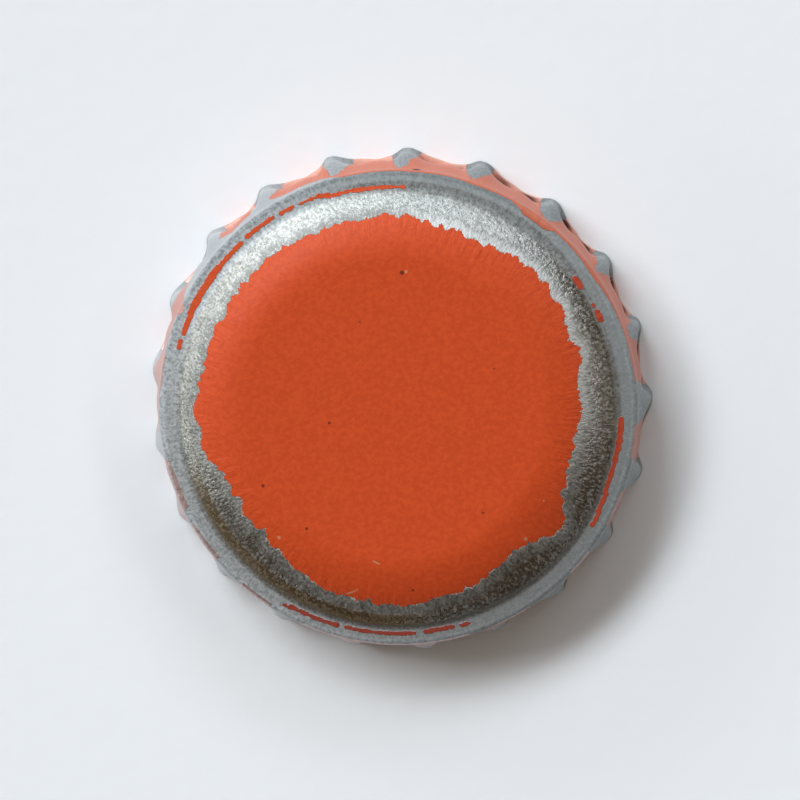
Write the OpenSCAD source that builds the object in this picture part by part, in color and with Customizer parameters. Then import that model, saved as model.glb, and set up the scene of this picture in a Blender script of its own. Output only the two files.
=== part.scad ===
// Crimped crown cap for a bottle with a 26 mm crown finish, as it comes off the bottle: a shell
// pressed from one disc of tinplate, and the sealing liner that is moulded into it.
// Millimetres. +Z points up through the panel, a tooth lies on +X, and the origin is the centre
// of the plane that the rim stands on.

/* [Pressed crown] */
// Height from the plane of the rim to the top of the panel
cap_h = 6.3; // [5.8:0.05:8]
// Diameter of the plain band between the ledge and the teeth
band_d = 27.2; // [25:0.1:34]
// Thickness of the tinplate
sheet_t = 0.24; // [0.18:0.01:0.3]
// Outside radius of the brow, where the flat panel starts to turn down
brow_r = 5.2; // [4:0.1:6.5]
// Slope at which the brow runs into the shoulder, in degrees below level
brow_slope = 27; // [20:1:29]
// Outside radius of the shoulder, which turns more gently
shoulder_r = 9; // [7:0.1:11]
// Slope at which the shoulder runs into the crease, in degrees below level
shoulder_slope = 39; // [38:1:47]
// Outside radius of the hollow crease under the shoulder
crease_r = 0.7; // [0.5:0.05:1]
// Width of the ledge between the crease and the corner, along the sheet
ledge_w = 0.55; // [0.3:0.05:0.8]
// Slope of the ledge, in degrees below level
ledge_slope = 4; // [0:1:12]
// Outside radius of the corner between the ledge and the band
corner_r = 0.35; // [0.32:0.01:0.6]
// Height of the plain band
band_h = 0.2; // [0.16:0.01:0.6]

/* [Fluted skirt] */
// Number of teeth
teeth = 21; // [17:1:27]
// How far a tooth stands out at the rim from the hem between teeth
tooth_rise = 0.66; // [0.3:0.02:0.85]
// How late a tooth grows from the band to the rim, where 1 is evenly
tooth_growth = 1.3; // [1:0.1:2]
// Steepness of a tooth's flanks at the rim
rim_steepness = 2.2; // [1:0.1:2.5]
// Steepness of a tooth's flanks above the rim
waist_steepness = 4; // [2:0.5:5]
// How much higher a tooth's edge lies than the hem between teeth
tooth_lift = 0.1; // [0:0.01:0.2]
// How far the hem between teeth stands out from the band
hem_flare = 0.14; // [0:0.01:0.3]
// How far the sheet swells out at mid-height, where it was rolled over the bottle's ring
swell = 0.26; // [0:0.02:0.4]
// Depth of the pinch beside each tooth, where crimping drew the sheet in under the ring
pinch = 0.25; // [0:0.01:0.35]

/* [Sealing liner] */
// Thickness of the liner's web
web_t = 0.4; // [0.25:0.01:0.6]
// Slope of the shoulder at the liner's edge, in degrees below level
liner_slope = 37; // [30:1:38]
// Height of the two sealing beads below the web
bead_h = 0.55; // [0.2:0.05:0.8]
// Half width of a sealing bead, along the sheet
bead_w = 0.5; // [0.3:0.05:0.7]
// Distance between the two beads, along the sheet
bead_gap = 1.9; // [1.5:0.1:2.2]
// Clearance between the liner and the inside of the shoulder
liner_gap = 0.02; // [0.01:0.01:0.1]

/* [Hidden] */
$fn = 120;

// Straight steps in each bend of the sheet, and across the liner's beads
brow_steps = 7;
shoulder_steps = 4;
crease_steps = 5;
corner_steps = 6;
liner_steps = 36;
// Rings of the fluted skirt, columns for each tooth, and how far those crowd towards it
skirt_rings = 9;
tooth_columns = 10;
crowding = 0.35;
// How far the top of the skirt stands out from both faces of the band, and how far its root
// reaches up inside the band, so that the two run together as one sheet
seam = 0.03;
root_h = 0.15;
// Height of the pinch, as a share of the skirt, and its half height
pinch_drop = 0.82;
pinch_reach = 0.13;
// Distance of the pinch from the tooth, as a share of the tooth pitch, and its spread
pinch_turn = 0.3;
pinch_spread = 0.45;
// Step for measuring how the skirt slopes
probe = 0.001;

// Unit vectors square to a sheet that slopes down and outwards, and along it
function square_to(slope) = [sin(slope), cos(slope)];
function along(slope) = [cos(slope), -sin(slope)];

// Centres of the four bends, each worked out from the next one outwards
band_r = band_d / 2;
corner_to_crease = (corner_r + crease_r) * square_to(ledge_slope) - ledge_w * along(ledge_slope);
crease_to_shoulder = -(crease_r + shoulder_r) * square_to(shoulder_slope);
shoulder_to_brow = (shoulder_r - brow_r) * square_to(brow_slope);
corner_to_brow = corner_to_crease + crease_to_shoulder + shoulder_to_brow;
corner_c = [band_r - corner_r, cap_h - brow_r - corner_to_brow[1]];
crease_c = corner_c + corner_to_crease;
shoulder_c = crease_c + crease_to_shoulder;
brow_c = shoulder_c + shoulder_to_brow;
panel_r = brow_c[0];
band_z = corner_c[1] - band_h;

// Points of a bend about a centre, from one slope of the sheet to another. The radius of a
// hollow bend is negative.
function bend(centre, radius, from, to, steps) =
    [for (i = [0:steps]) centre + radius * square_to(from + (to - from) * i / steps)];

function reversed(list) = [for (i = [len(list) - 1:-1:0]) list[i]];

// Half section of the crown, from the axis out to the band, at a depth below its outer face
function crown_face(depth) = concat(
    [[0, cap_h - depth]],
    bend(brow_c, brow_r - depth, 0, brow_slope, brow_steps),
    bend(shoulder_c, shoulder_r - depth, brow_slope, shoulder_slope, shoulder_steps),
    bend(crease_c, -(crease_r + depth), shoulder_slope, ledge_slope, crease_steps),
    bend(corner_c, corner_r - depth, ledge_slope, 90, corner_steps),
    [[band_r - depth, band_z]]
);

// Panel, brow, shoulder, crease, ledge and band
module crown() {
    rotate_extrude()
        polygon(concat(crown_face(0), reversed(crown_face(sheet_t))));
}

// A round hump, 1 high
function hump(x) = exp(-x * x);

// Share of a tooth's rise. Turn is the angle from the tooth in tooth pitches, and drop runs from
// 0 at the band to 1 at the rim, where the steep flanks ease.
function tooth_share(turn, drop) =
    let (steepness = waist_steepness + (rim_steepness - waist_steepness) * pow(drop, 6))
    pow(max(drop, 0), tooth_growth) * pow((1 + cos(360 * turn)) / 2, steepness);

// Share of the pinch, which lies on both sides of each tooth, just above the rim
function pinch_share(turn, drop) =
    hump((drop - pinch_drop) / pinch_reach)
    * hump((cos(360 * turn) - cos(360 * pinch_turn)) / pinch_spread);

// Outer face of the skirt, where hem is the height of the hem between teeth
function skirt_point(turn, drop, hem) =
    let (
        r = band_r + seam * (1 - drop) + swell * pow(sin(180 * drop), 2)
            + hem_flare * pow(drop, 4) + tooth_rise * tooth_share(turn, drop)
            - pinch * pinch_share(turn, drop),
        rim = hem + tooth_lift * tooth_share(turn, 1),
        angle = turn * 360 / teeth
    )
    [r * cos(angle), r * sin(angle), band_z - (band_z - rim) * drop];

// Inner face: the outer face moved in by the thickness of the sheet, square to it
function skirt_inner_point(turn, drop, hem) =
    let (
        down = skirt_point(turn, drop + probe, hem) - skirt_point(turn, drop - probe, hem),
        sideways = skirt_point(turn + probe, drop, hem) - skirt_point(turn - probe, drop, hem),
        outwards = cross(down, sideways)
    )
    skirt_point(turn, drop, hem) - (sheet_t + 2 * seam * (1 - drop)) * outwards / norm(outwards);

// Columns of one tooth, and the height of the hem that sets its inner edge on the rim's plane
turns = [for (i = [0:tooth_columns - 1])
    let (even = i / tooth_columns) even - crowding * sin(360 * even) / (2 * PI)];
hem_z = -min([for (turn = turns) skirt_inner_point(turn, 1, 0)[2]]);

function turned(p, angle) =
    [p[0] * cos(angle) - p[1] * sin(angle), p[0] * sin(angle) + p[1] * cos(angle), p[2]];

// The fluted skirt: a grid of points that runs from the root down the outer face and back up
// the inner one
module skirt() {
    drops = [for (i = [0:skirt_rings]) sin(90 * i / skirt_rings)];
    root = [band_r - sheet_t / 2, 0, band_z + root_h];
    profile = concat(
        [[for (turn = turns) turned(root, turn * 360 / teeth)]],
        [for (drop = drops) [for (turn = turns) skirt_point(turn, drop, hem_z)]],
        [for (drop = reversed(drops)) [for (turn = turns) skirt_inner_point(turn, drop, hem_z)]]
    );
    around = teeth * tooth_columns;
    rows = len(profile);
    points = [for (row = profile) for (tooth = [0:teeth - 1]) for (p = row)
        turned(p, tooth * 360 / teeth)];
    faces = [for (row = [0:rows - 1]) for (i = [0:around - 1])
        let (
            next = (i + 1) % around,
            a = row * around + i,
            b = row * around + next,
            c = (row + 1) % rows * around + next,
            d = (row + 1) % rows * around + i
        )
        each [[a, b, c], [a, c, d]]];
    polyhedron(points, faces);
}

// Tinplate shell: one pressing
module cap_shell() {
    color([0.77, 0.31, 0.17]) {
        crown();
        skirt();
    }
}

// Moulded liner: its back lies on the panel and follows the brow and the shoulder, and two beads
// stand out from its web, one on each side of the place where the bottle's mouth presses
module sealing_liner() {
    back_z = cap_h - sheet_t;
    back_brow_r = brow_r - sheet_t - liner_gap;
    back_shoulder_r = shoulder_r - sheet_t - liner_gap;
    brow_end = panel_r + back_brow_r * brow_slope * PI / 180;
    edge = brow_end + back_shoulder_r * (liner_slope - brow_slope) * PI / 180;
    outer_bead = edge - 1.6 * bead_w;
    inner_bead = outer_bead - bead_gap;
    start = inner_bead - 2.5 * bead_w;
    // Place on the back at a distance from the axis along it, moved down into the liner
    function under_back(distance, depth) =
        distance < panel_r
            ? [distance, back_z - depth]
            : distance < brow_end
            ? brow_c + (back_brow_r - depth) * square_to((distance - panel_r) / back_brow_r * 180 / PI)
            : shoulder_c + (back_shoulder_r - depth)
                * square_to(brow_slope + (distance - brow_end) / back_shoulder_r * 180 / PI);
    function thickness(distance) =
        web_t * sqrt(max(0, 1 - pow(max(0, distance - edge + web_t) / web_t, 2)))
        + bead_h * hump((distance - outer_bead) / bead_w)
        + bead_h * hump((distance - inner_bead) / bead_w);
    color([0.86, 0.85, 0.80])
        rotate_extrude()
            polygon(concat(
                [[0, back_z], [panel_r, back_z]],
                bend(brow_c, back_brow_r, 0, brow_slope, brow_steps),
                bend(shoulder_c, back_shoulder_r, brow_slope, liner_slope, shoulder_steps),
                [for (i = [liner_steps:-1:0])
                    let (distance = start + (edge - start) * i / liner_steps)
                    under_back(distance, thickness(distance))],
                [[0, back_z - web_t]]
            ));
}

cap_shell();
sealing_liner();
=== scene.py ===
"""A used crown cap, closed side up on white paper: a fluted tinplate shell whose orange lacquer is worn
through on every proud form, and the sealing liner moulded inside it. Shapes are worked out in
millimetres, with z = 0 at the rim, and become metres as each mesh is made."""

import math
from types import SimpleNamespace

import bpy
import numpy as np
from mathutils import Matrix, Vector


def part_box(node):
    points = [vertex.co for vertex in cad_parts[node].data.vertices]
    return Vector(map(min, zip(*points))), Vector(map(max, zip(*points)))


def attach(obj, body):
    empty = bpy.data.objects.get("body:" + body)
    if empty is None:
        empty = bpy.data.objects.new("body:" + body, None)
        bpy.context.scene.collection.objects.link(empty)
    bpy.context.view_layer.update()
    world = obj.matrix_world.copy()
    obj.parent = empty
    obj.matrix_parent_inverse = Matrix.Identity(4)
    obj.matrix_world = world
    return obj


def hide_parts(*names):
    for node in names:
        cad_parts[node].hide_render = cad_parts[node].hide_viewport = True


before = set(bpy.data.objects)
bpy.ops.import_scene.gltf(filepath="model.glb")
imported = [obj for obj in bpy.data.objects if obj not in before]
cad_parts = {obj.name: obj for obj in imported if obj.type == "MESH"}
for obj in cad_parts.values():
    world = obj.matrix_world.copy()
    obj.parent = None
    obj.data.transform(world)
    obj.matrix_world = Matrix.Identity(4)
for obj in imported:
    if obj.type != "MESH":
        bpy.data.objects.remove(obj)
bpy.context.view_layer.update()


# ---- Cap shell -------------------------------------------------------------------------------------
# One disc of tinplate, pressed into a crown and then crimped to a bottle, which left its 21 teeth a
# little uneven. The lacquer was printed on the flat sheet. Handling has worn it off the shoulder, the
# ledge and the tooth crests, and it stays in the hollows and on the panel.

MM = 0.001
cap_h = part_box("cap_shell")[1].z / MM
sheet_t = 0.24
band_r = 13.6

# Crown: (radius of the bend, slope at its end in degrees below level, rows). A hollow bend is negative.
brow = (5.2, 27, 12)
shoulder = (9.0, 39, 12)
crease = (-0.7, 4, 8)
corner = (0.35, 90, 8)
panel_hole = 0.4
panel_rows = 8
ledge_w = 0.55
ledge_rows = 10
band_h = 0.2

# The brow and the rim lie a little off centre towards one azimuth. The brow's shift grows and dies away
# over a width of the crown.
off_centre_azimuth = 135
brow_shift = 0.3
brow_shift_from = 6.4
brow_shift_width = 6
rim_shift = 0.08

# Grid of the skirt, whose columns crowd towards the teeth, and of the half circle round the cut edge
teeth = 21
columns_each = 36
crowding = 0.3
skirt_rows = 24
edge_rows = 5
edge_step = 0.06

# Skirt. A drop is a share of the way from the band to the rim, and a turn is a share of the tooth pitch.
swell = 0.26
hem_r = 13.74
hem_reach = 0.21
lip_start = 0.945
lip_curve = 1.5
tooth_rise = 0.8
tooth_growth = 1.3
tooth_half = 0.165
tooth_flatness = 2.6
tooth_flattening = 6
tooth_lift = 0.09
tooth_lean = 0.1
waist_in = 0.25
pinch = 0.36
pinch_drop = 0.88
pinch_reach = 0.15
pinch_turn = 0.27
pinch_half = 0.11
hollow_drop = 0.93
hollow_reach = 0.1
hollow_turn = 0.3
hollow_half = 0.16

# How much the teeth differ from one another: as shares, and the height of the rim in millimetres
width_spread = 0.06
rise_spread = 0.03
pinch_spread = 0.2
rim_spread = 0.015

# How far each tooth stands off its even place round the cap, in degrees, from the one on +X
tooth_shift = [-0.6, -0.6, -1.1, -0.7, 0.8, 1.2, 2.0, 1.6, 0.5, 0.3, -0.1,
               0, -0.1, -0.6, -0.4, 0, 0.3, 0.7, -0.4, -0.4, -1.0]

# Size of each tooth: three next to one another were bent back against the skirt
tooth_size = [1, 1, 1, 1, 0.97, 0.97, 1.03, 1.03, 1, 0.86, 0.85, 0.83, 0.95, 1, 1, 1, 1, 1, 1, 1, 1]


def bend(start, radius, slope_in, slope_out, rows):
    """Rows of (radius, height) round a bend: the bend's centre plus its radius times the direction
    square to the sheet, whose slope turns evenly from one value to the other."""
    slopes = np.radians(np.linspace(slope_in, slope_out, rows + 1))
    square = np.stack([np.sin(slopes), np.cos(slopes)], 1)
    return start + radius * (square[1:] - square[0])


def crown_outline():
    """Half section of the crown's outer face from the middle of the panel to the foot of the band. The
    bends follow each other outwards, and the flat panel takes what is left of the band's radius."""
    rows = np.zeros((1, 2))
    slope = 0
    for radius, slope_out, count in (brow, shoulder, crease):
        rows = np.vstack([rows, bend(rows[-1], radius, slope, slope_out, count)])
        slope = slope_out
    along = np.array([math.cos(math.radians(slope)), -math.sin(math.radians(slope))])
    rows = np.vstack([rows, rows[-1] + ledge_w * np.linspace(0, 1, ledge_rows + 1)[1:, None] * along])
    rows = np.vstack([rows, bend(rows[-1], corner[0], slope, corner[1], corner[2])])
    flat_r = band_r - rows[-1, 0]
    rows += [flat_r, cap_h]
    panel = np.stack([np.linspace(panel_hole, flat_r, panel_rows + 1)[:-1], np.full(panel_rows, cap_h)], 1)
    return np.vstack([panel, rows])


def hump(x):
    """A round hump, 1 high: e to the power of minus x squared."""
    return np.exp(-x * x)


def uneven(steps, spread, seed):
    """A value for each tooth, 1 on average, eased from tooth to tooth along the steps."""
    picks = 1 + spread * np.random.default_rng(seed).standard_normal(teeth)
    return np.interp(steps, np.arange(teeth + 1), np.append(picks, picks[0]))


def skirt_face(steps, drop, hem_z):
    """Outer face of the skirt over tooth steps (whole numbers are teeth) and drop (0 at the band, 1 at
    the rim), for a hem at a height of hem_z. Its radius is the band's, plus a swell at mid-height that is
    a squared sine of the drop, plus the tooth, which grows with a power of the drop and is flat-topped
    across, less a pinch beside each tooth. Over the last of the drop it turns out to the hem, which runs
    almost straight between teeth."""
    turn = steps - np.round(steps)
    lean = turn + tooth_lean * np.sin(np.pi * turn) ** 2
    lean = lean - np.round(lean)
    half = tooth_half * uneven(steps, width_spread, 3)
    across = np.exp(-np.abs(lean / half) ** tooth_flatness)
    bell = (1 + np.cos(2 * np.pi * lean)) / 2
    size = np.interp(steps, np.arange(teeth + 1), tooth_size + tooth_size[:1])
    rise = tooth_rise * uneven(steps, rise_spread, 5) * size
    waist = np.exp(-np.abs(lean / tooth_half) ** 2)
    blend = drop ** tooth_flattening
    beside = hump((np.abs(lean) - pinch_turn) / pinch_half)
    pinched = pinch * uneven(steps, pinch_spread, 7) * beside
    wall = (swell * (1 - waist_in * beside) * np.sin(np.pi * drop) ** 2
            + rise * drop ** tooth_growth * (waist * (1 - blend) + across * blend)
            - pinched * hump((drop - pinch_drop) / pinch_reach))
    wall_at_rim = rise * across - pinched * hump((1 - pinch_drop) / pinch_reach)
    hem = hem_r - band_r + hem_reach * bell + (band_r + rise - hem_r - hem_reach) * across
    lip = np.clip((drop - lip_start) / (1 - lip_start), 0, 1) ** lip_curve
    radius = band_r + wall + (hem - wall_at_rim) * lip
    rim = hem_z + tooth_lift * across + uneven(steps, rim_spread, 9) - 1
    height = band_z + (rim - band_z) * drop
    shift = np.interp(steps, np.arange(teeth + 1), tooth_shift + tooth_shift[:1])
    angle = np.radians(steps * 360 / teeth + shift)
    radius = radius + rim_shift * drop * np.cos(angle - math.radians(off_centre_azimuth))
    return np.stack([radius * np.cos(angle), radius * np.sin(angle), height], -1), angle


def hollow_share(steps, drop):
    """How far a place on the skirt lies in the pinched hollow beside a tooth, just above the lip, from 0
    to 1: a hump of the drop times a hump of the distance from the tooth."""
    turn = np.abs(steps - np.round(steps))
    return hump((drop - hollow_drop) / hollow_reach) * hump((turn - hollow_turn) / hollow_half)


def face_normals(grid):
    """Unit normals of a closed grid of rows and columns: the cross product of its down and around
    differences."""
    down = np.gradient(grid, axis=0)
    around = np.roll(grid, -1, 1) - np.roll(grid, 1, 1)
    normal = np.cross(down, around)
    return normal / np.linalg.norm(normal, axis=-1, keepdims=True)


def ring_mesh(name, rows, pole_top, pole_bottom):
    """A mesh of a closed grid, with its first and last rows drawn together at two poles. Rows run from
    the top pole down the outer face and back up the inner face."""
    count, around, _ = rows.shape
    a = np.arange(count * around).reshape(count, around)
    b = np.roll(a, -1, 1)
    quads = np.stack([a[:-1], a[1:], b[1:], b[:-1]], -1).reshape(-1, 4)
    top, bottom = count * around, count * around + 1
    fans = np.concatenate([
        np.stack([np.full(around, top), a[0], b[0]], -1),
        np.stack([np.full(around, bottom), b[-1], a[-1]], -1)])
    points = np.concatenate([rows.reshape(-1, 3), [pole_top, pole_bottom]]) * MM
    mesh = bpy.data.meshes.new(name)
    mesh.from_pydata(points, [], quads.tolist() + fans.tolist())
    mesh.shade_smooth()
    piece = bpy.data.objects.new(name, mesh)
    bpy.context.scene.collection.objects.link(piece)
    return piece


def set_values(piece, name, values, kind="FLOAT"):
    """Stores one value for each point, for the material to read."""
    field = {"FLOAT": "value", "FLOAT_VECTOR": "vector"}[kind]
    attribute = piece.data.attributes.new(name, kind, "POINT")
    attribute.data.foreach_set(field, np.ravel(values).astype(np.float32))


crown = crown_outline()
band_z = crown[-1, 1] - band_h
share = np.arange(columns_each) / columns_each
share = share - crowding * np.sin(2 * np.pi * share) / (2 * np.pi)
steps = (np.arange(teeth)[:, None] + share).ravel()
drops = np.sin(np.pi / 2 * np.arange(0, skirt_rows + 1) / skirt_rows)[:, None]
outer_rows = len(crown) + len(drops)


def shell_grid(hem_z):
    """Rows of points down the outer face, round the cut edge and up the inner face, with the angle of each
    column. The inner face is the outer one moved in by the sheet's thickness, square to it, and has half
    as many rows. The cut edge is a half circle between their last rows."""
    skirt, angle = skirt_face(steps[None, :], drops, hem_z)
    eased = np.sin(np.pi * np.clip((crown[:, :1] - brow_shift_from) / brow_shift_width, 0, 1)) ** 2
    crown_r = crown[:, :1] + brow_shift * eased * np.cos(angle - math.radians(off_centre_azimuth))
    crown_z = np.repeat(crown[:, 1:], len(steps), 1)
    crown_face = np.stack([crown_r * np.cos(angle), crown_r * np.sin(angle), crown_z], -1)
    outer = np.concatenate([crown_face, skirt])
    normals = face_normals(outer)
    inner = outer - sheet_t * normals
    turns = np.radians(np.linspace(90, -90, edge_rows + 2))[1:-1, None, None]
    below = np.cross(normals[-1], np.roll(outer[-1], -1, 0) - np.roll(outer[-1], 1, 0))
    below = below / np.linalg.norm(below, axis=-1, keepdims=True) * np.sign(-below[..., 2:])
    round_edge = np.sin(turns) * normals[-1] + np.cos(turns) * below
    edge = (outer[-1] + inner[-1]) / 2 + sheet_t / 2 * round_edge
    return np.concatenate([outer, edge, inner[::-1][::2]]), angle[0]


lowest = shell_grid(0)[0][..., 2].min()
shell_rows, angle = shell_grid(-lowest)
cap_shell = ring_mesh("worn_cap_shell", shell_rows, [0, 0, cap_h], [0, 0, cap_h - sheet_t])

# Distance along the sheet from the middle of the panel, for each row of the outer face
row_lengths = np.linalg.norm(np.diff(crown, axis=0), axis=1)
sheet_s = panel_hole + np.concatenate([[0], np.cumsum(row_lengths)])
skirt_length = np.linalg.norm(np.diff([[band_r, band_z], [hem_r, 0]], axis=0))
sheet_s = np.concatenate([sheet_s, sheet_s[-1] + band_h + skirt_length * drops[:, 0]])

# Edge of the lacquer on the panel: degrees round the cap, and distance along the sheet
panel_edge = [
    (0, 10.7), (2.5, 10.6), (6, 10.5), (9, 10.6), (12, 10.8), (14, 11.0), (17, 11.1), (20, 11.0),
    (21.5, 10.7), (24, 10.85), (28, 11.05), (31, 11.3), (33, 11.15), (36, 11.05), (39, 11.4), (41, 11.15),
    (44, 11.35), (46, 11.3), (48, 11.1), (50, 11.2), (53, 11.15), (55, 10.9), (60, 10.9), (61.3, 10.55),
    (63, 10.8), (67.5, 10.65), (69, 10.9), (71.5, 10.95), (73.5, 10.65), (75, 11.05), (77, 10.65),
    (79, 11.0), (81, 10.85), (83, 11.1), (86, 11.3), (88, 11.0), (91, 11.35), (93, 11.2), (95, 11.15),
    (100, 11.05), (105, 11.2), (107, 11.25), (108.5, 11.05), (110, 11.25), (112, 10.95), (115, 11.2),
    (120, 11.15), (123, 11.4), (125, 11.3), (129, 11.4), (133, 11.2), (134.5, 11.45), (137.3, 11.1),
    (139.3, 11.5), (142, 11.1), (144, 11.5), (145, 11.25), (146.5, 11.45), (148, 11.1), (149.5, 11.0),
    (151, 11.1), (153.3, 11.5), (156, 11.2), (157.5, 11.35), (158.5, 11.2), (160.5, 11.4), (163.3, 11.15),
    (165, 11.45), (165.8, 10.95), (168.5, 11.4), (170, 11.3), (171, 11.6), (173, 11.2), (176, 11.6),
    (180, 11.75), (182, 11.5), (184, 11.2), (186, 11.2), (188, 11.35), (190, 11.4), (191.5, 11.15),
    (193.8, 11.1), (194.2, 10.85), (196, 10.6), (197, 10.7), (198, 10.3), (200, 10.45), (202.5, 10.15),
    (204.5, 10.5), (206, 10.45), (207.5, 10.0), (209, 10.1), (210.5, 10.35), (213, 10.55), (215.5, 10.3),
    (217, 10.5), (218.5, 10.45), (220.5, 10.0), (222, 10.2), (223.5, 10.45), (226, 10.55), (228, 10.4),
    (230, 10.5), (232, 10.65), (235, 10.8), (238, 10.85), (241, 10.95), (244, 11.05), (247, 11.2),
    (253, 11.15), (258, 11.25), (260, 11.05), (261.5, 11.4), (265, 11.35), (267, 11.25), (270, 11.4),
    (274, 11.3), (277, 11.3), (279, 11.15), (284, 11.05), (288, 11.2), (289, 11.0), (293.5, 11.15),
    (295, 10.9), (297, 11.05), (298.5, 10.8), (303, 10.75), (306, 10.6), (308, 10.55), (310, 10.65),
    (314, 10.9), (315, 11.05), (317, 11.1), (318.5, 11.35), (320, 11.65), (324, 11.7), (326, 11.55),
    (327, 11.3), (328.5, 11.1), (331, 10.95), (332, 10.6), (333, 10.55), (334.5, 10.75), (337, 10.6),
    (339, 10.4), (341.5, 10.5), (342.5, 10.25), (344, 10.45), (346, 10.4), (348, 10.55), (350, 10.3),
    (352, 10.45), (354, 10.45), (356, 10.6), (360, 10.7)]

# Lacquer left in the crease: degrees from and to, and the sheet distances of its inner and outer edge
crease_strips = [
    (22, 25.5, 12.83, 13.2), (26, 27.5, 12.9, 13.1), (32, 36, 12.75, 13.1), (86.5, 90.5, 13.0, 13.15),
    (89.5, 100, 12.95, 13.2), (99, 107, 13.0, 13.22), (105.5, 108.5, 13.1, 13.36),
    (107.5, 109.5, 13.2, 13.46), (109, 114.3, 13.23, 13.4), (115.3, 119.8, 13.23, 13.46),
    (121.1, 130.2, 13.26, 13.52),
    (131.3, 140.5, 13.2, 13.48), (139.5, 154.5, 13.15, 13.56), (153.5, 159.9, 13.14, 13.46),
    (160.8, 163.6, 13.2, 13.44), (238.1, 240.5, 13.33, 13.53), (239.5, 253.5, 13.2, 13.45),
    (254.7, 273.2, 13.19, 13.42), (274.7, 283, 13.14, 13.4), (284.2, 287.1, 13.2, 13.44),
    (327.2, 332, 13.14, 13.4), (331, 337, 13.03, 13.3), (336, 349, 12.93, 13.2),
    (348, 356.8, 12.92, 13.27)]

# Lacquer below the ledge: degrees round the cap, and the sheet distance where it starts
ledge_edge = [
    (0, 17), (3, 17), (5.5, 14.0), (10, 13.95), (15, 14.0), (25, 13.95), (33, 13.8), (40, 13.9),
    (47.5, 13.9), (48.5, 13.7), (50, 13.6), (56, 13.6), (57, 13.75), (60, 13.95), (70, 13.9), (75, 14.0),
    (84, 13.95), (90, 14.0), (102, 14.0), (103.5, 14.2), (105.5, 14.7), (107.5, 14.95), (110, 15.1),
    (117, 15.05), (120, 15.3), (121.5, 15.7), (122.3, 19), (125.2, 19), (126, 15.6), (128, 15.4),
    (132, 15.15), (134, 15.4), (137, 15.6), (138.5, 15.9), (139.5, 19), (146, 19), (148, 16.2),
    (151, 15.4), (152.5, 14.2), (153, 13.8), (154.7, 13.8), (156, 14.2), (160, 14.5), (163.5, 14.4),
    (165.5, 13.95), (173, 13.9), (176, 14.1), (184, 14.1), (185.5, 15.5), (190, 15.5), (191, 13.8),
    (196, 13.65), (204, 13.65), (205.5, 14.6), (207.5, 14.6), (208.5, 13.8), (216, 13.7), (221, 13.7),
    (222, 14.8), (226, 14.8), (227, 13.75), (239, 13.75), (239.7, 15.5), (243, 15.5),
    (244, 13.95), (285, 13.95), (289, 14.2), (293, 14.0), (302, 14.0), (303.5, 16.5), (313, 16.5),
    (314.5, 13.95), (325, 13.95), (325.7, 15.5), (328.7, 15.5), (329.3, 13.95), (340.7, 13.95),
    (341.5, 15.5), (345.8, 15.5), (346.5, 13.9), (354.8, 13.9), (355.7, 17), (360, 17)]

# The bare crest of each tooth: where it starts, as a share of the skirt's drop, and how far it lies off
# the tooth, in tooth steps
crest_top = [-2, 0.15, 0.1, 0.05, 0.1, 0.1, 0.1, 0.3, 0.3, 0.35, 0.6,
             -2, 0.45, -2, -2, 0.35, 0.3, 0.3, -2, -2, -2]
crest_turn = [0, 0, 0, 0, 0.06, 0.06, -0.05, 0, 0, 0, 0, 0, 0, 0, 0, 0, 0, 0, 0, 0, 0]
crest_half = 0.19

# How ragged the lacquer's edge is, against 1 on the panel: in the crease, and on the skirt from a distance
# along the sheet over a width
strip_ragged = 0.4
skirt_ragged = 0.12
skirt_ragged_more = 0.6
skirt_ragged_from = 14.4
skirt_ragged_width = 1.5


def lacquer_left(degrees, along, steps, drop):
    """Millimetres from the edge of the lacquer, above 0 where it stays, and how ragged that edge is. The
    panel's share is its edge less the distance along the sheet. A strip is a bar with round ends. The
    skirt's is its distance past the ledge's edge, or to the bare crest of the nearest tooth, which is half
    an ellipse that stands on the hem."""
    panel = np.interp(degrees, *np.transpose(panel_edge), period=360) - along
    left, ragged = panel, np.ones_like(panel)
    for start, end, low, high in crease_strips:
        length = np.radians(end - start) * band_r
        off = np.radians(degrees - (start + end) / 2) * band_r
        past_end = np.maximum(np.abs(off) - length / 2 + (high - low) / 2, 0)
        strip = (high - low) / 2 - np.hypot(along - (low + high) / 2, past_end)
        ragged = np.where(strip > left, strip_ragged, ragged)
        left = np.maximum(left, strip)
    turn = steps - np.round(steps)
    tooth = np.round(steps).astype(int) % teeth
    aside = (turn - np.array(crest_turn)[tooth] + tooth_lean * np.sin(np.pi * turn) ** 2) / crest_half
    above = (1 - drop) / (1 - np.array(crest_top)[tooth])
    off_crest = (np.hypot(aside, above) - 1) * crest_half * 2 * np.pi * band_r / teeth
    past = along - np.interp(degrees, *np.transpose(ledge_edge), period=360)
    skirt_part = np.minimum(past, off_crest)
    lower = np.clip((along - skirt_ragged_from) / skirt_ragged_width, 0, 1)
    ragged = np.where(skirt_part > left, skirt_ragged + skirt_ragged_more * lower, ragged)
    return np.maximum(left, skirt_part), ragged


degrees = np.degrees(angle) % 360
drop_rows = np.concatenate([np.full(len(crown), 0), drops[:, 0]])[:, None]
rest_rows = len(shell_rows) - outer_rows
lacquered_rows = edge_rows - 1
well_inside = 9.0
bare = -1.0


def with_rest(values, rest):
    """Values of the outer face's points, then one value for every other point and the two poles."""
    return np.append(values, np.full(rest_rows * len(steps) + 2, rest))


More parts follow.
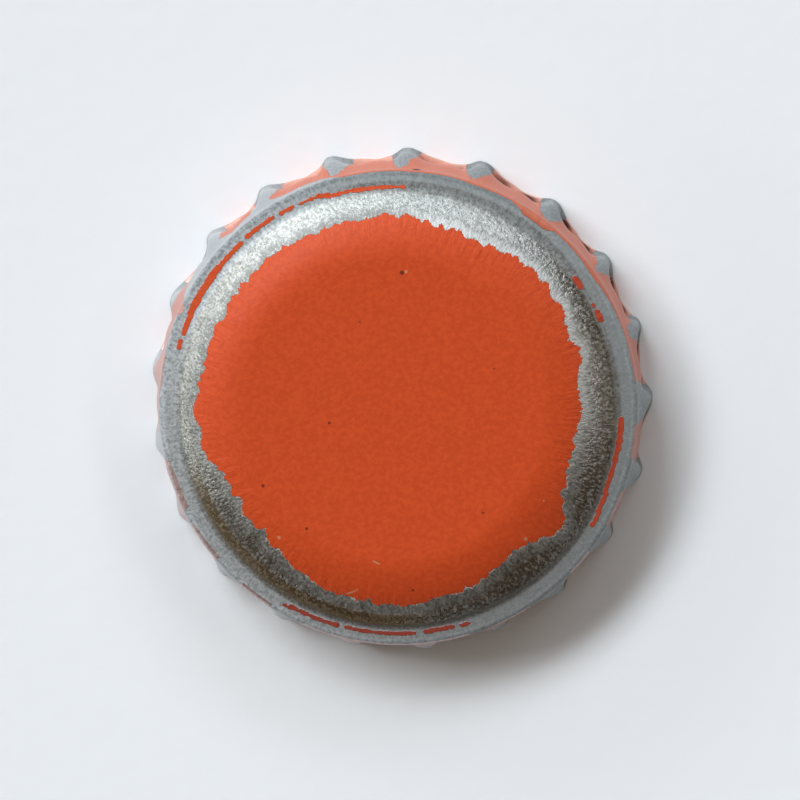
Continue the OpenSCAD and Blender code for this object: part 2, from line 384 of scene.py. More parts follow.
# Millimetres from the lacquer's edge. The lacquer turns round the cut edge, and the inner face is bare.
film, ragged = lacquer_left(degrees[None, :], sheet_s[:, None], steps[None, :], drop_rows)
film = np.concatenate([film, np.repeat(film[-1:], lacquered_rows, 0),
                       np.full((rest_rows - lacquered_rows, len(steps)), bare)])
set_values(cap_shell, "film", np.append(film, [well_inside, bare]))
set_values(cap_shell, "ragged", with_rest(ragged, 1.0))
off_panel = np.interp(degrees, *np.transpose(panel_edge), period=360)[None, :] - sheet_s[:, None]
set_values(cap_shell, "off_panel", with_rest(off_panel, -well_inside))

# A frame that follows the sheet: two coordinates round the cap and one along it, in millimetres
wrap_r = 12
ring_xy = wrap_r * np.stack([np.cos(angle), np.sin(angle)], -1)
row_s = np.concatenate([sheet_s, sheet_s[-1] + edge_step * np.arange(edge_rows), sheet_s[::-1][::2]])
sheet_frame = np.concatenate([np.broadcast_to(ring_xy, (len(row_s),) + ring_xy.shape),
                              np.broadcast_to(row_s[:, None, None], (len(row_s), len(steps), 1))], -1)
sheet_frame = np.concatenate([sheet_frame.reshape(-1, 3), np.zeros((2, 3))])
set_values(cap_shell, "sheet_frame", sheet_frame, "FLOAT_VECTOR")

# The pinched hollows of the outer face, and the part that is inside the cap
hollow = hollow_share(steps[None, :], drop_rows) * (drop_rows > 0)
set_values(cap_shell, "hollow", with_rest(hollow, 0.0))
inside = (np.arange(len(shell_rows)) >= outer_rows + edge_rows // 2).astype(float)
set_values(cap_shell, "inside", np.append(np.repeat(inside, len(steps)), [0, 1]))


def add_node(tree, kind, sockets=(), **settings):
    """Adds a shader node. Sockets maps an input to a value or to the output that feeds it."""
    node = tree.nodes.new(kind)
    for name, value in settings.items():
        setattr(node, name, value)
    for key, value in dict(sockets).items():
        if isinstance(value, bpy.types.NodeSocket):
            tree.links.new(value, node.inputs[key])
        else:
            node.inputs[key].default_value = value
    return node


def reckoned(tree, operation, first, *rest):
    """Arithmetic on values, taken from left to right."""
    for value in rest:
        first = add_node(tree, "ShaderNodeMath", {0: first, 1: value}, operation=operation).outputs[0]
    return first


def plus(tree, *values):
    """The sum of values."""
    return reckoned(tree, "ADD", *values)


def less(tree, *values):
    """The first value less all the others."""
    return reckoned(tree, "SUBTRACT", *values)


def times(tree, *values):
    """The product of values."""
    return reckoned(tree, "MULTIPLY", *values)


def most(tree, *values):
    """The greatest of values."""
    return reckoned(tree, "MAXIMUM", *values)


def ease(tree, value, low, high, to_low=0.0, to_high=1.0):
    """Takes a value from one range to another, easing at both ends."""
    sockets = {"Value": value, "From Min": low, "From Max": high, "To Min": to_low, "To Max": to_high}
    return add_node(tree, "ShaderNodeMapRange", sockets, interpolation_type="SMOOTHSTEP").outputs["Result"]


def between(tree, value, start, end):
    """A window on a value: it eases up over the start's two limits, and down over the end's."""
    return times(tree, ease(tree, value, *start), ease(tree, value, *end, 1.0, 0.0))


def mixed(tree, share, a, b):
    """Mixes two colours."""
    return add_node(tree, "ShaderNodeMix", {0: share, 6: a, 7: b}, data_type="RGBA").outputs[2]


def mixed_value(tree, share, a, b):
    """Mixes two values."""
    return add_node(tree, "ShaderNodeMix", {0: share, 2: a, 3: b}, data_type="FLOAT").outputs[0]


def grain_group():
    """The node group for noise in cells of a chosen number to the unit, stretched along any axis."""
    group = bpy.data.node_groups.new("grain", "ShaderNodeTree")
    for name, kind in (("Place", "NodeSocketVector"), ("Stretch", "NodeSocketVector"),
                       ("Cells", "NodeSocketFloat"), ("Detail", "NodeSocketFloat"),
                       ("Roughness", "NodeSocketFloat")):
        group.interface.new_socket(name, in_out="INPUT", socket_type=kind)
    group.interface.new_socket("Value", in_out="OUTPUT", socket_type="NodeSocketFloat")
    given = group.nodes.new("NodeGroupInput").outputs
    stretched = add_node(group, "ShaderNodeVectorMath", {0: given["Place"], 1: given["Stretch"]},
                         operation="MULTIPLY").outputs[0]
    noise = add_node(group, "ShaderNodeTexNoise",
                     {"Vector": stretched, "Scale": given["Cells"], "Detail": given["Detail"],
                      "Roughness": given["Roughness"]}).outputs["Fac"]
    group.links.new(noise, group.nodes.new("NodeGroupOutput").inputs["Value"])
    return group


grain_nodes = grain_group()


def grain(tree, place, cells, stretch, detail=2.0, roughness=0.5):
    """Places the grain group in a material with its own values."""
    return add_node(tree, "ShaderNodeGroup",
                    {"Place": place, "Stretch": stretch, "Cells": cells, "Detail": detail,
                     "Roughness": roughness}, node_tree=grain_nodes).outputs["Value"]


def stored(tree, name, output="Fac"):
    """Values stored on the mesh."""
    return add_node(tree, "ShaderNodeAttribute", attribute_name=name).outputs[output]


def place_in_mm(tree):
    """The place on a piece, in millimetres."""
    place = add_node(tree, "ShaderNodeTexCoord").outputs["Object"]
    return add_node(tree, "ShaderNodeVectorMath", {0: place, 1: (1 / MM, 1 / MM, 1 / MM)},
                    operation="MULTIPLY").outputs[0]


LACQUER = (0.66, 0.08, 0.018, 1)
LACQUER_MOTTLE = (0.59, 0.067, 0.015, 1)
LACQUER_SHADED = (0.3, 0.045, 0.028, 1)
LACQUER_THIN = (0.56, 0.145, 0.08, 1)
# The lip's pale lacquer is a painted sheen.
LACQUER_LIP_SHEEN = (0.7, 0.36, 0.28, 1)
# Painted shade: near-black lacquer for the hollows beside the teeth, also used for the dark mark on the
# skirt.
LACQUER_SHADE_AND_MARK = (0.03, 0.009, 0.007, 1)
DARK_MARK = (0.16, 0.03, 0.012, 1)
PALE_MARK = (0.6, 0.24, 0.13, 1)
BASE_COAT = (0.5, 0.48, 0.42, 1)
TIN = (0.57, 0.575, 0.565, 1)
# Painted light: the bright metal beside the lacquer on the +x side.
TIN_LIT = (0.82, 0.84, 0.85, 1)
TIN_DULL = (0.22, 0.225, 0.215, 1)
TIN_LEDGE = (0.48, 0.51, 0.525, 1)
TIN_LEDGE_DULL = (0.37, 0.395, 0.405, 1)
TIN_RUBBED = (0.66, 0.68, 0.7, 1)
TIN_BRIGHT = (0.62, 0.635, 0.655, 1)
# Grime and painted shade: the dark metal in the crease away from the window, and on the outer shoulder on
# the side away from it.
GRIME_AND_SHADE = (0.16, 0.15, 0.13, 1)
# A painted reflection: the brown of the outer shoulder on one side.
BROWN_REFLECTION = (0.35, 0.24, 0.1, 1)
INSIDE_TIN = (0.62, 0.58, 0.46, 1)

# Sides of the cap where the finish changes, a few by wear and most by painted light and shade: a direction
# as x and y, and the two distances that way between which the effect comes in
# Painted light: on the window side the bare metal is brighter and more even. Its roughness and pebbles
# change there too.
window_lit_side = (-0.26, 0.97, 3, 9)
# Painted light: the metal beside the lacquer on the +x side is bright.
plus_x_lit_side = (0.82, 0.57, 6, 9.5)
rubbed_side = (-0.98, -0.17, -6, 10)
# Painted light: beside the lacquer on the window side the metal is darker, to dim the highlight there.
highlight_dimmed_side = (-0.67, 0.74, 5, 10)
# A painted reflection: brown on the outer shoulder on this side.
brown_reflection_side = (-0.56, -0.83, 8.5, 10.7)
# Painted shade on the outer shoulder, on the side away from the window.
shaded_shoulder_side = (0.17, -0.98, 8, 11.5)
# The crease's grime and painted shade are spared on the window side, and creep further out on the next
# side.
crease_lit_side = (-0.67, 0.74, 9.6, 11.6)
grime_and_shade_creep_side = (0.26, 0.97, 8, 11)
# Painted shade: the crease's lacquer strips are darker but for these two sides, towards the window and the
# +x side.
lit_strip_side = (-0.67, 0.74, -2, 5)
half_lit_strip_side = (0.94, 0.34, 3, 8)
# Painted shade in the hollows beside the teeth comes in on this side.
dark_hollow_side = (0.94, 0.34, 5.5, 10.5)
full_cover_side = (0.26, 0.97, -7, 10)

# The two distances along the sheet between which one finish gives way to the next, from the shoulder out
brown_reflection_starts = (11.8, 12.1)
shaded_shoulder_starts = (12.0, 12.5)
panel_film_ends = (12.3, 12.4)
scuffs_end = (12.3, 12.6)
knocks_end = (12.5, 12.7)
grime_and_shade_starts = (12.6, 12.85)
polish_ends = (12.6, 12.9)
ledge_starts = (12.7, 12.95)
brown_reflection_ends = (12.7, 12.95)
shaded_shoulder_ends = (12.85, 13.1)
glossy_film_starts = (12.9, 13.4)
grime_and_shade_ends = (12.98, 13.15)
thin_film_starts = (13.5, 13.65)
cover_thins = (13.55, 13.9)
band_starts = (13.6, 13.8)
bright_band_starts = (13.9, 14.3)
wander_starts = (14.5, 16.0)
lip_sheen_starts = (18.2, 18.45)

# The two distances from the lacquer's edge between which an effect comes in, below 0 on the bare side
film_edge = (-0.012, 0.012)
base_coat_edge = (-0.07, -0.04)
furrows_fade = (0.1, 1.4)
plus_x_lit_near = (-0.7, -0.2)
highlight_dimmed_near = (-1.1, -0.2)
scuffed_near = (-1.1, -0.2)
pebbled_near = (-1.7, -0.4)

# How far each effect goes where it is full: shares, and millimetres for the creep of the grime and painted
# shade, the wander of the skirt's edge and the raggedness of the panel's
window_lit_least = 0.3
plus_x_lit_share = 0.6
brown_reflection_share = 0.6
shaded_shoulder_share = 0.6
grime_and_shade_share = 0.6
grime_and_shade_creep = 0.35
half_lit_share = 0.4
thinnest_cover = 0.35
edge_wander = 0.5
panel_ragged = 0.6
sheet_relief_m = 0.00004

# Small marks on the panel: place in millimetres and radius
dark_marks = [(0.55, 7.95, 0.13), (-3.8, -0.5, 0.08), (-7.65, -4.0, 0.1), (-5.25, -6.5, 0.09),
              (0.65, -10.2, 0.08), (4.75, -5.8, 0.07), (-1.9, 5.2, 0.05), (5.6, 2.4, 0.05)]
pale_marks = [(0.78, 8.0, 0.09), (-6.85, -7.0, 0.1), (7.1, -7.4, 0.11), (8.0, -7.5, 0.12),
              (-1.5, -8.45, 0.05), (-1.4, -8.5, 0.06), (-1.3, -8.55, 0.06), (-1.2, -8.6, 0.05),
              (-3.1, -10.35, 0.05), (-3.0, -10.32, 0.06), (-2.9, -10.29, 0.06), (-2.8, -10.26, 0.06),
              (-2.7, -10.22, 0.06), (-2.6, -10.17, 0.05), (-2.5, -10.1, 0.05), (8.2, -5.2, 0.06)]

# A dark mark on the skirt: place round the cap and radius, and its distance along the sheet
skirt_mark = (1.25, 11.93, 0.24)
skirt_mark_s = 14.4

# The shares of its radius over which a mark fades out
mark_fades = (0.6, 1.3)


def on_side(tree, place, side, to_low=0.0, to_high=1.0):
    """How far a place lies to one side of the cap, eased between two values. The distance that way is the
    dot product of the place and the side's direction."""
    x, y, low, high = side
    reach = add_node(tree, "ShaderNodeVectorMath", {0: place, 1: (x, y, 0)},
                     operation="DOT_PRODUCT").outputs["Value"]
    return ease(tree, reach, low, high, to_low, to_high)


def centred(tree, noise, size):
    """Noise with its middle moved to 0, times a size."""
    return times(tree, less(tree, noise, 0.5), size)


def spots(tree, place, marks, height=0):
    """Mask of a list of small round marks, all at one height."""
    total = 0.0
    for x, y, radius in marks:
        off = add_node(tree, "ShaderNodeVectorMath", {0: place, 1: (x, y, height)},
                       operation="DISTANCE").outputs["Value"]
        fades_from, fades_to = radius * mark_fades[0], radius * mark_fades[1]
        total = most(tree, total, ease(tree, off, fades_from, fades_to, 1.0, 0.0))
    return total


def sheet_values(tree):
    """What every part of the shell's finish reads: the place on the sheet, its distance from the middle,
    noise of several sizes, and where the metal is painted brighter on the window side, carries the painted
    brown reflection or is part of the ledge."""
    place = stored(tree, "sheet_frame", "Vector")
    along = add_node(tree, "ShaderNodeSeparateXYZ", {0: place}).outputs[2]
    in_mm = place_in_mm(tree)
    return SimpleNamespace(
        place=place,
        along=along,
        in_mm=in_mm,
        pebbles=grain(tree, place, 6.5, (1, 1, 0.6), 2.0, 0.6),
        speckle=grain(tree, place, 7.0, (1, 1, 0.9), 2.0, 0.65),
        scuffs=grain(tree, place, 2.2, (1, 1, 0.7), 3.0, 0.6),
        peel=grain(tree, in_mm, 3.6, (1, 1, 1), 2.0, 0.6),
        window_lit=on_side(tree, place, window_lit_side),
        brown_reflection=times(tree, on_side(tree, place, brown_reflection_side, 0.0, brown_reflection_share),
                      between(tree, along, brown_reflection_starts, brown_reflection_ends)),
        ledge=ease(tree, along, *ledge_starts))


def add_worn_edge(tree, sheet):
    """Adds the lacquer's ragged edge to the sheet's values: the distance from it, with spikes and nibbles
    and a slow wander on the skirt, the masks of the lacquer, of the base coat beside it and of the bare
    metal, the distance from the panel's edge, and the mask of the painted shade in the hollows on the +x
    side, together with the dark mark, that it covers."""
    how_ragged = stored(tree, "ragged")
    spikes = grain(tree, sheet.place, 3.8, (1, 1, 0.3), 2.0, 0.6)
    nibbles = grain(tree, sheet.place, 8.0, (1, 1, 0.7), 1.0)
    ragged = plus(tree, centred(tree, spikes, 0.5), centred(tree, nibbles, 0.3))
    wander = centred(tree, grain(tree, sheet.in_mm, 0.45, (1, 1, 1), 3.0),
                     ease(tree, sheet.along, *wander_starts, 0.0, edge_wander))
    sheet.edge = plus(tree, stored(tree, "film"), wander, times(tree, ragged, how_ragged))
    sheet.film = ease(tree, sheet.edge, *film_edge)
    sheet.off_panel = plus(tree, stored(tree, "off_panel"), times(tree, ragged, panel_ragged))
    coat_here = ease(tree, grain(tree, sheet.place, 1.3, (1, 1, 0.5)), 0.5, 0.56)
    coat_here = times(tree, coat_here, ease(tree, how_ragged, 0.9, 0.95))
    sheet.base_coat = times(tree, ease(tree, sheet.edge, *base_coat_edge), coat_here,
                            less(tree, 1.0, sheet.film))
    sheet.bare = less(tree, 1.0, sheet.film, sheet.base_coat)
    # Painted shade: the hollows beside the teeth go dark on the +x side, away from the window.
    hollow = times(tree, ease(tree, stored(tree, "hollow"), 0.2, 0.8),
                   on_side(tree, sheet.place, dark_hollow_side))
    sheet.dark_hollow = most(tree, hollow, spots(tree, sheet.place, [skirt_mark], skirt_mark_s))


def sheet_relief(tree, sheet):
    """Height for the bump: pebbles on the bared shoulder, which stand out most beside the lacquer, a finer
    speckle from the ledge outwards, and the lacquer's thickness with its peel and the furrows at its
    edge."""
    furrows = grain(tree, sheet.place, 3.0, (1, 1, 0.15), 2.0)
    shoulder_part = times(tree, sheet.pebbles,
                          ease(tree, sheet.off_panel, *pebbled_near, 0.8, 1.2),
                          ease(tree, sheet.window_lit, 0, 1, 1.0, 0.85),
                          less(tree, 1.0, sheet.brown_reflection))
    ledge_part = times(tree, sheet.speckle, 0.3)
    metal = times(tree, mixed_value(tree, sheet.ledge, shoulder_part, ledge_part), sheet.bare)
    furrowed = times(tree, furrows, ease(tree, sheet.edge, *furrows_fade, 1.6, 0.0))
    film = plus(tree, times(tree, sheet.peel, 0.5), furrowed, 0.9)
    return plus(tree, metal, times(tree, film, sheet.film))


def tin_colour(tree, sheet):
    """Colour of the bared tinplate: dull and bright flecks on the shoulder, bluer flecks on the ledge,
    brighter where it was rubbed on the -x side, and painted light: brighter and more even on the window
    side, brighter beside the lacquer on the +x side, and a little darker beside the lacquer on the window
    side to dim the highlight there. In the crease it is darker away from the window, with grime and
    painted shade; it has painted shade on the outer shoulder on the side away from the window, a painted
    brown reflection on one side, a yellower face inside the cap, and the pale base coat beside the
    lacquer."""
    place, along = sheet.place, sheet.along
    flecks = plus(tree, times(tree, sheet.speckle, 0.7), times(tree, sheet.pebbles, 0.6))
    # Painted light: beside the lacquer on the window side the metal is a little darker, dimming the
    # highlight.
    highlight_dimmed = times(tree, ease(tree, sheet.off_panel, *highlight_dimmed_near), on_side(tree, place, highlight_dimmed_side))
    worn = plus(tree, flecks, times(tree, sheet.scuffs, 0.35))
    # Painted light: the window side is brighter and more even.
    worn = plus(tree, less(tree, worn, times(tree, highlight_dimmed, 0.08)), times(tree, sheet.window_lit, 0.03))
    worn = most(tree, ease(tree, worn, 0.62, 1.02), times(tree, sheet.window_lit, window_lit_least))
    metal = mixed(tree, worn, TIN_DULL, TIN)
    # Painted light: bright metal beside the lacquer on the +x side.
    plus_x_lit = times(tree, ease(tree, sheet.off_panel, *plus_x_lit_near),
                    on_side(tree, place, plus_x_lit_side, 0.0, plus_x_lit_share))
    metal = mixed(tree, plus_x_lit, metal, TIN_LIT)
    flecked = ease(tree, flecks, 0.45, 0.85)
    metal = mixed(tree, sheet.ledge, metal, mixed(tree, flecked, TIN_LEDGE_DULL, TIN_LEDGE))
    rubbed = on_side(tree, place, rubbed_side)
    metal = mixed(tree, times(tree, sheet.ledge, flecked, rubbed), metal, TIN_RUBBED)
    metal = mixed(tree, times(tree, ease(tree, along, *bright_band_starts), rubbed), metal, TIN_BRIGHT)
    # Grime and painted shade in the crease, spared on the window side.
    crept = plus(tree, along, on_side(tree, place, grime_and_shade_creep_side, 0.0, -grime_and_shade_creep))
    grime_and_shade = times(tree, ease(tree, crept, *grime_and_shade_ends, 1.0, 0.0),
                  ease(tree, along, *grime_and_shade_starts, 0.0, grime_and_shade_share),
                  on_side(tree, place, crease_lit_side, 1.0, 0.0),
                  ease(tree, flecks, 0.4, 0.8, 1.25, 0.5))
    # Painted shade on the outer shoulder, on the side away from the window.
    shaded_shoulder = times(tree, on_side(tree, place, shaded_shoulder_side, 0.0, shaded_shoulder_share),
                   between(tree, along, shaded_shoulder_starts, shaded_shoulder_ends))
    metal = mixed(tree, most(tree, grime_and_shade, shaded_shoulder), metal, GRIME_AND_SHADE)
    # A painted brown reflection on the outer shoulder on one side.
    metal = mixed(tree, sheet.brown_reflection, metal, BROWN_REFLECTION)
    metal = mixed(tree, stored(tree, "inside"), metal, INSIDE_TIN)
    return mixed(tree, sheet.base_coat, metal, BASE_COAT)


def tin_roughness(tree, sheet):
    """Roughness of the bared tinplate: polished on the shoulder but for its knocks and the scuffs beside
    the lacquer, matt from the ledge outwards, and more so on the band and the skirt."""
    scuffed = times(tree, ease(tree, sheet.off_panel, *scuffed_near, 0.0, 0.3),
                    ease(tree, sheet.along, *scuffs_end, 1.0, 0.0))
    knocked = times(tree, ease(tree, sheet.pebbles, 0.48, 0.68, 0.0, 0.26),
                    ease(tree, sheet.along, *knocks_end, 1.0, 0.0))
    return plus(tree, ease(tree, sheet.along, *polish_ends, 0.22, 0.58),
                times(tree, sheet.window_lit, 0.15),
                most(tree, scuffed, knocked),
                ease(tree, sheet.along, *band_starts, 0.0, 0.25))


def lacquer_colour(tree, sheet):
    """Colour of the lacquer: mottled orange with small marks on the panel, painted darker in the crease as
    shade but for the window side and, in part, the +x side, thinner on the skirt, paled on the lip as a
    painted sheen, and painted nearly black as shade in the hollows on the +x side and on the dark mark."""
    flat_place = add_node(tree, "ShaderNodeVectorMath", {0: sheet.in_mm, 1: (1, 1, 0)},
                          operation="MULTIPLY").outputs[0]
    panel = mixed(tree, ease(tree, sheet.peel, 0.35, 0.65), LACQUER_MOTTLE, LACQUER)
    panel = mixed(tree, spots(tree, flat_place, dark_marks), panel, DARK_MARK)
    panel = mixed(tree, spots(tree, flat_place, pale_marks), panel, PALE_MARK)
    # Painted shade: the strips in the crease are darker but for the window side and, in part, the +x side.
    lit_strips = most(tree, on_side(tree, sheet.place, lit_strip_side),
                 on_side(tree, sheet.place, half_lit_strip_side, 0.0, half_lit_share))
    strips = mixed(tree, lit_strips, LACQUER_SHADED, LACQUER)
    lacquer = mixed(tree, ease(tree, sheet.along, *panel_film_ends), panel, strips)
    lacquer = mixed(tree, ease(tree, sheet.along, *thin_film_starts), lacquer, LACQUER_THIN)
    # A painted sheen: the lip's lacquer is paler.
    lacquer = mixed(tree, ease(tree, sheet.along, *lip_sheen_starts), lacquer, LACQUER_LIP_SHEEN)
    return mixed(tree, sheet.dark_hollow, lacquer, LACQUER_SHADE_AND_MARK)


def lacquered_tinplate():
    """Orange lacquer over bare tinplate, with a ragged worn edge between them. The lacquer hides the metal
    on the crown, and lets it shine through on the skirt where it is worn thin."""
    material = bpy.data.materials.new("lacquered_tinplate")
    material.use_nodes = True
    tree = material.node_tree
    shader = tree.nodes["Principled BSDF"]
    sheet = sheet_values(tree)
    add_worn_edge(tree, sheet)
    bump = add_node(tree, "ShaderNodeBump", {"Strength": 1.0, "Distance": sheet_relief_m,
                                             "Height": sheet_relief(tree, sheet)})
    cover = most(tree, ease(tree, sheet.along, *cover_thins, 1.0, 0.0),
                 on_side(tree, sheet.place, full_cover_side, thinnest_cover, 1.0), sheet.dark_hollow)
    cover = times(tree, cover, sheet.film)
    colour = mixed(tree, cover, tin_colour(tree, sheet), lacquer_colour(tree, sheet))
    lacquer_rough = ease(tree, sheet.along, *glossy_film_starts, 0.5, 0.4)
    rough = mixed_value(tree, sheet.film, tin_roughness(tree, sheet), lacquer_rough)
    # In the painted shade of the hollows the lacquer's specular level drops, so that it stays dark.
    gloss = times(tree, ease(tree, sheet.along, *glossy_film_starts, 0.22, 0.5),
                  ease(tree, sheet.dark_hollow, 0, 1, 1.0, 0.15))
    tree.links.new(colour, shader.inputs["Base Color"])
    tree.links.new(less(tree, 1.0, cover, sheet.base_coat), shader.inputs["Metallic"])
    tree.links.new(rough, shader.inputs["Roughness"])
    tree.links.new(gloss, shader.inputs["Specular IOR Level"])
    tree.links.new(bump.outputs[0], shader.inputs["Normal"])
    return material


cap_shell.data.materials.append(lacquered_tinplate())
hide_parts("cap_shell")
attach(cap_shell, "root")


# ---- Sealing liner ---------------------------------------------------------------------------------
# A soft compound moulded into the upturned shell. Its back lies along the panel and the shoulder, and two
# beads stand out from its web, one on each side of the place where the bottle's mouth pressed.

liner_gap = 0.03
web_t = 0.4
liner_end = 11.6
bead_h = 0.5
bead_w = 0.5
bead_places = (10.75, 8.85)
mouth_dent = 0.07
dent_w = 0.35
liner_rows = 70
liner_columns = 240


def liner_sides():
    """Half section of the liner as two rows of points along the sheet: the back keeps a gap below the
    inner face of a centred shell, and the front lies a thickness below that. The thickness is the web's,
    which rounds off at the end like a quarter of a circle, plus a hump at each bead, less the mouth's
    dent. The liner doesn't follow the brow's shift, so opposite to it the back runs up to 0.055 mm into
    the sheet, out of sight."""
    along = np.linspace(panel_hole, liner_end, liner_rows)
    face_s = sheet_s[:len(crown)]
    r, z = (np.interp(along, face_s, crown[:, k]) for k in (0, 1))
    slope_r, slope_z = np.gradient(r, along), np.gradient(z, along)
    square = np.stack([-slope_z, slope_r], 1) / np.hypot(slope_r, slope_z)[:, None]
    back = np.stack([r, z], 1) - (sheet_t + liner_gap) * square
    late = np.clip((along - liner_end + web_t) / web_t, 0, 1)
    beads = sum(hump((along - place) / bead_w) for place in bead_places)
    thickness = web_t * np.sqrt(1 - late ** 2) + bead_h * beads
    thickness = thickness - mouth_dent * hump((along - sum(bead_places) / 2) / dent_w)
    return back, back - thickness[:, None] * square


liner_back, liner_front = liner_sides()
liner_section = np.concatenate([liner_back, liner_front[::-1]])
around = 2 * np.pi * np.arange(liner_columns) / liner_columns
liner_grid = np.stack([liner_section[:, :1] * np.cos(around), liner_section[:, :1] * np.sin(around),
                       np.repeat(liner_section[:, 1:], len(around), 1)], -1)
sealing_liner = ring_mesh("moulded_liner", liner_grid, [0, 0, liner_back[0, 1]], [0, 0, liner_front[0, 1]])

LINER = (0.74, 0.73, 0.68, 1)
LINER_CLOUD = (0.66, 0.64, 0.57, 1)
liner_relief_m = 0.00002


def liner_compound():
    """Off-white compound, slightly cloudy, with the fine grain of its mould."""
    material = bpy.data.materials.new("liner_compound")
    material.use_nodes = True
    tree = material.node_tree
    shader = tree.nodes["Principled BSDF"]
    in_mm = place_in_mm(tree)
    cloud = grain(tree, in_mm, 0.35, (1, 1, 1), 3.0)
    fine = grain(tree, in_mm, 3.0, (1, 1, 1), 2.0)
    colour = mixed(tree, ease(tree, cloud, 0.35, 0.7), LINER, LINER_CLOUD)
    tree.links.new(colour, shader.inputs["Base Color"])
    tree.links.new(ease(tree, cloud, 0.3, 0.7, 0.34, 0.5), shader.inputs["Roughness"])
    bump = add_node(tree, "ShaderNodeBump", {"Strength": 0.5, "Distance": liner_relief_m, "Height": fine})
    tree.links.new(bump.outputs[0], shader.inputs["Normal"])
    return material


sealing_liner.data.materials.append(liner_compound())
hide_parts("sealing_liner")
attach(sealing_liner, "root")


# ---- Floor, light and camera -----------------------------------------------------------------------
# A sheet of white paper under the cap, a broad window to the upper left, and a dim room around with
# weaker patches of light. The camera stands almost straight above.

floor_half = 1.5
floor_mesh = bpy.data.meshes.new("paper")
corners = [(-floor_half, -floor_half, 0), (floor_half, -floor_half, 0),
           (floor_half, floor_half, 0), (-floor_half, floor_half, 0)]
floor_mesh.from_pydata(corners, [], [(0, 1, 2, 3)])
paper = bpy.data.objects.new("paper", floor_mesh)
bpy.context.scene.collection.objects.link(paper)

PAPER = (0.945, 0.965, 1, 1)
PAPER_PITS = (0.925, 0.945, 0.98, 1)
paper_cells = 900
paper_relief_m = 0.0001


def paper_surface():
    """White paper with a faint tooth."""
    material = bpy.data.materials.new("white_paper")
    material.use_nodes = True
    tree = material.node_tree
    shader = tree.nodes["Principled BSDF"]
    place = add_node(tree, "ShaderNodeTexCoord").outputs["Object"]
    tooth = grain(tree, place, paper_cells, (1, 1, 1), 3.0)
    colour = mixed(tree, tooth, PAPER_PITS, PAPER)
    tree.links.new(colour, shader.inputs["Base Color"])
    shader.inputs["Roughness"].default_value = 0.9
    shader.inputs["Specular IOR Level"].default_value = 0.2
    bump = add_node(tree, "ShaderNodeBump", {"Strength": 0.25, "Distance": paper_relief_m,
                                             "Height": tooth})
    tree.links.new(bump.outputs[0], shader.inputs["Normal"])
    return material


floor_mesh.materials.append(paper_surface())

scene = bpy.context.scene
scene.view_settings.view_transform = "Standard"


def patch(tree, level, rise, azimuth, half_arc, low, high, soft):
    """Mask of the directions within half an arc of an azimuth and between two elevations. It eases off to
    nothing over a soft margin outside them. All are in degrees."""
    middle = math.radians(azimuth)
    across = add_node(tree, "ShaderNodeVectorMath", {0: level, 1: (math.cos(middle), math.sin(middle), 0)},
                      operation="DOT_PRODUCT").outputs["Value"]
    across = ease(tree, across, math.cos(math.radians(half_arc + soft)), math.cos(math.radians(half_arc)))
    foot = ease(tree, rise, math.radians(low - soft), math.radians(low))
    head = ease(tree, rise, math.radians(high), math.radians(high + soft), 1, 0)
    return times(tree, across, foot, head)


DIM_ROOM = (0.094, 0.066, 0.042)

# Patches of light: azimuth, half the arc, lowest and highest elevation, soft margin, and brightness
ceiling = (0, 180, 72, 120, 8, (0.1, 0.1, 0.1))
window = (132, 24, 40, 47, 7, (13.5, 14.4, 15.0))
second_window = (70, 22, 28, 32, 7, (3.6, 3.95, 4.25))
bright_wall = (26, 44, 42, 43, 7, (2.1, 2.1, 2.05))
right_corner = (2, 14, 18, 30, 8, (0.16, 0.15, 0.12))
left_corner = (212, 14, 10, 24, 8, (0.1, 0.1, 0.09))
left_sill = (154, 42, 14, 16, 8, (2.9, 3.0, 2.85))
right_sill = (110, 24, 16, 17, 7, (2.2, 2.6, 2.75))
patches = (ceiling, window, second_window, bright_wall, right_corner, left_corner, left_sill, right_sill)


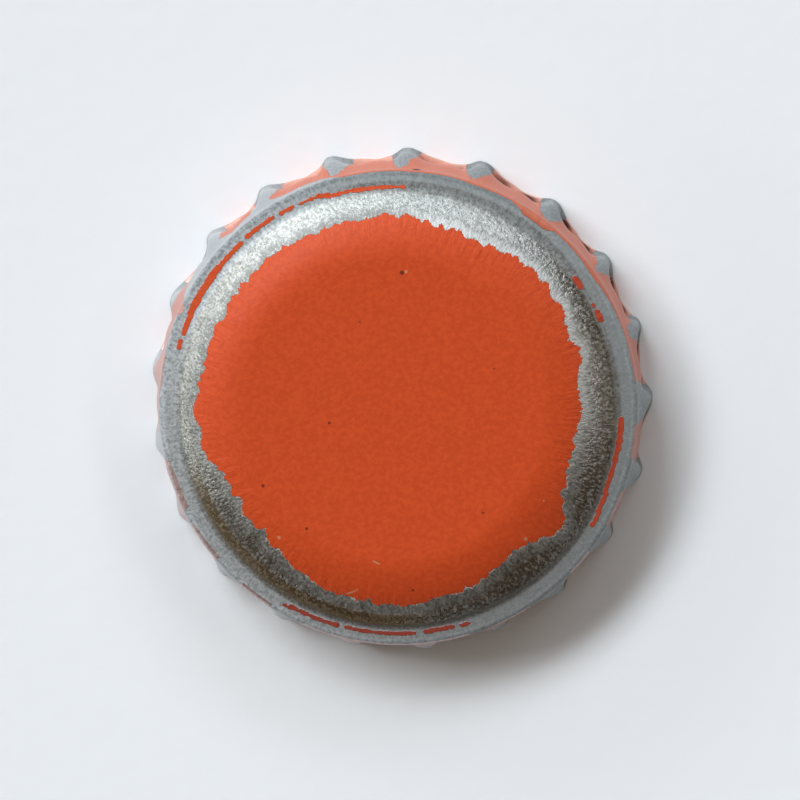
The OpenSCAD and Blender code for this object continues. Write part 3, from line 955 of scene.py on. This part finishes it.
def room_light():
    """Light from all round, by direction: the dim room plus each patch's mask times its brightness."""
    world = bpy.data.worlds.new("room")
    world.use_nodes = True
    tree = world.node_tree
    seen = add_node(tree, "ShaderNodeTexCoord").outputs["Generated"]
    height = add_node(tree, "ShaderNodeSeparateXYZ", {0: seen}).outputs[2]
    rise = add_node(tree, "ShaderNodeMath", {0: height}, operation="ARCSINE").outputs[0]
    level = add_node(tree, "ShaderNodeVectorMath", {0: seen, 1: (1, 1, 0)},
                     operation="MULTIPLY").outputs[0]
    level = add_node(tree, "ShaderNodeVectorMath", {0: level}, operation="NORMALIZE").outputs[0]
    light = DIM_ROOM
    for *limits, colour in patches:
        mask = patch(tree, level, rise, *limits)
        light = add_node(tree, "ShaderNodeVectorMath", {0: mask, 1: colour, 2: light},
                         operation="MULTIPLY_ADD").outputs[0]
    tree.links.new(light, tree.nodes["Background"].inputs["Color"])
    return world


scene.world = room_light()

# The camera looks down, a little off vertical. The direction of its azimuth lies at picture_angle in the
# picture, anticlockwise from the right.
camera_elevation = 82
camera_azimuth = 66.3
picture_angle = 67.7
camera_distance = 0.5
nearest_seen = 0.01
sensor = 36
pixels = 800
pixels_per_mm = 17.5
cap_centre_px = (402, 398.5)

az, el = math.radians(camera_azimuth), math.radians(camera_elevation)
back = np.array([math.cos(el) * math.cos(az), math.cos(el) * math.sin(az), math.sin(el)])
flat = np.array([math.cos(az), math.sin(az), 0])
away = flat - flat.dot(back) * back
away /= np.linalg.norm(away)
side = np.cross(back, away)
roll = math.radians(picture_angle)
right = math.cos(roll) * away - math.sin(roll) * side
up = math.sin(roll) * away + math.cos(roll) * side
off_right, off_up = cap_centre_px[0] - pixels / 2, pixels / 2 - cap_centre_px[1]
target = -(off_right * right + off_up * up) / pixels_per_mm * MM
lens = bpy.data.cameras.new("camera")
lens.sensor_width = sensor
lens.lens = sensor * camera_distance / (pixels / pixels_per_mm * MM)
lens.clip_start = nearest_seen
camera = bpy.data.objects.new("camera", lens)
scene.collection.objects.link(camera)
matrix = np.eye(4)
matrix[:3, 0], matrix[:3, 1], matrix[:3, 2] = right, up, back
matrix[:3, 3] = target + camera_distance * back
camera.matrix_world = Matrix(matrix)
scene.camera = camera
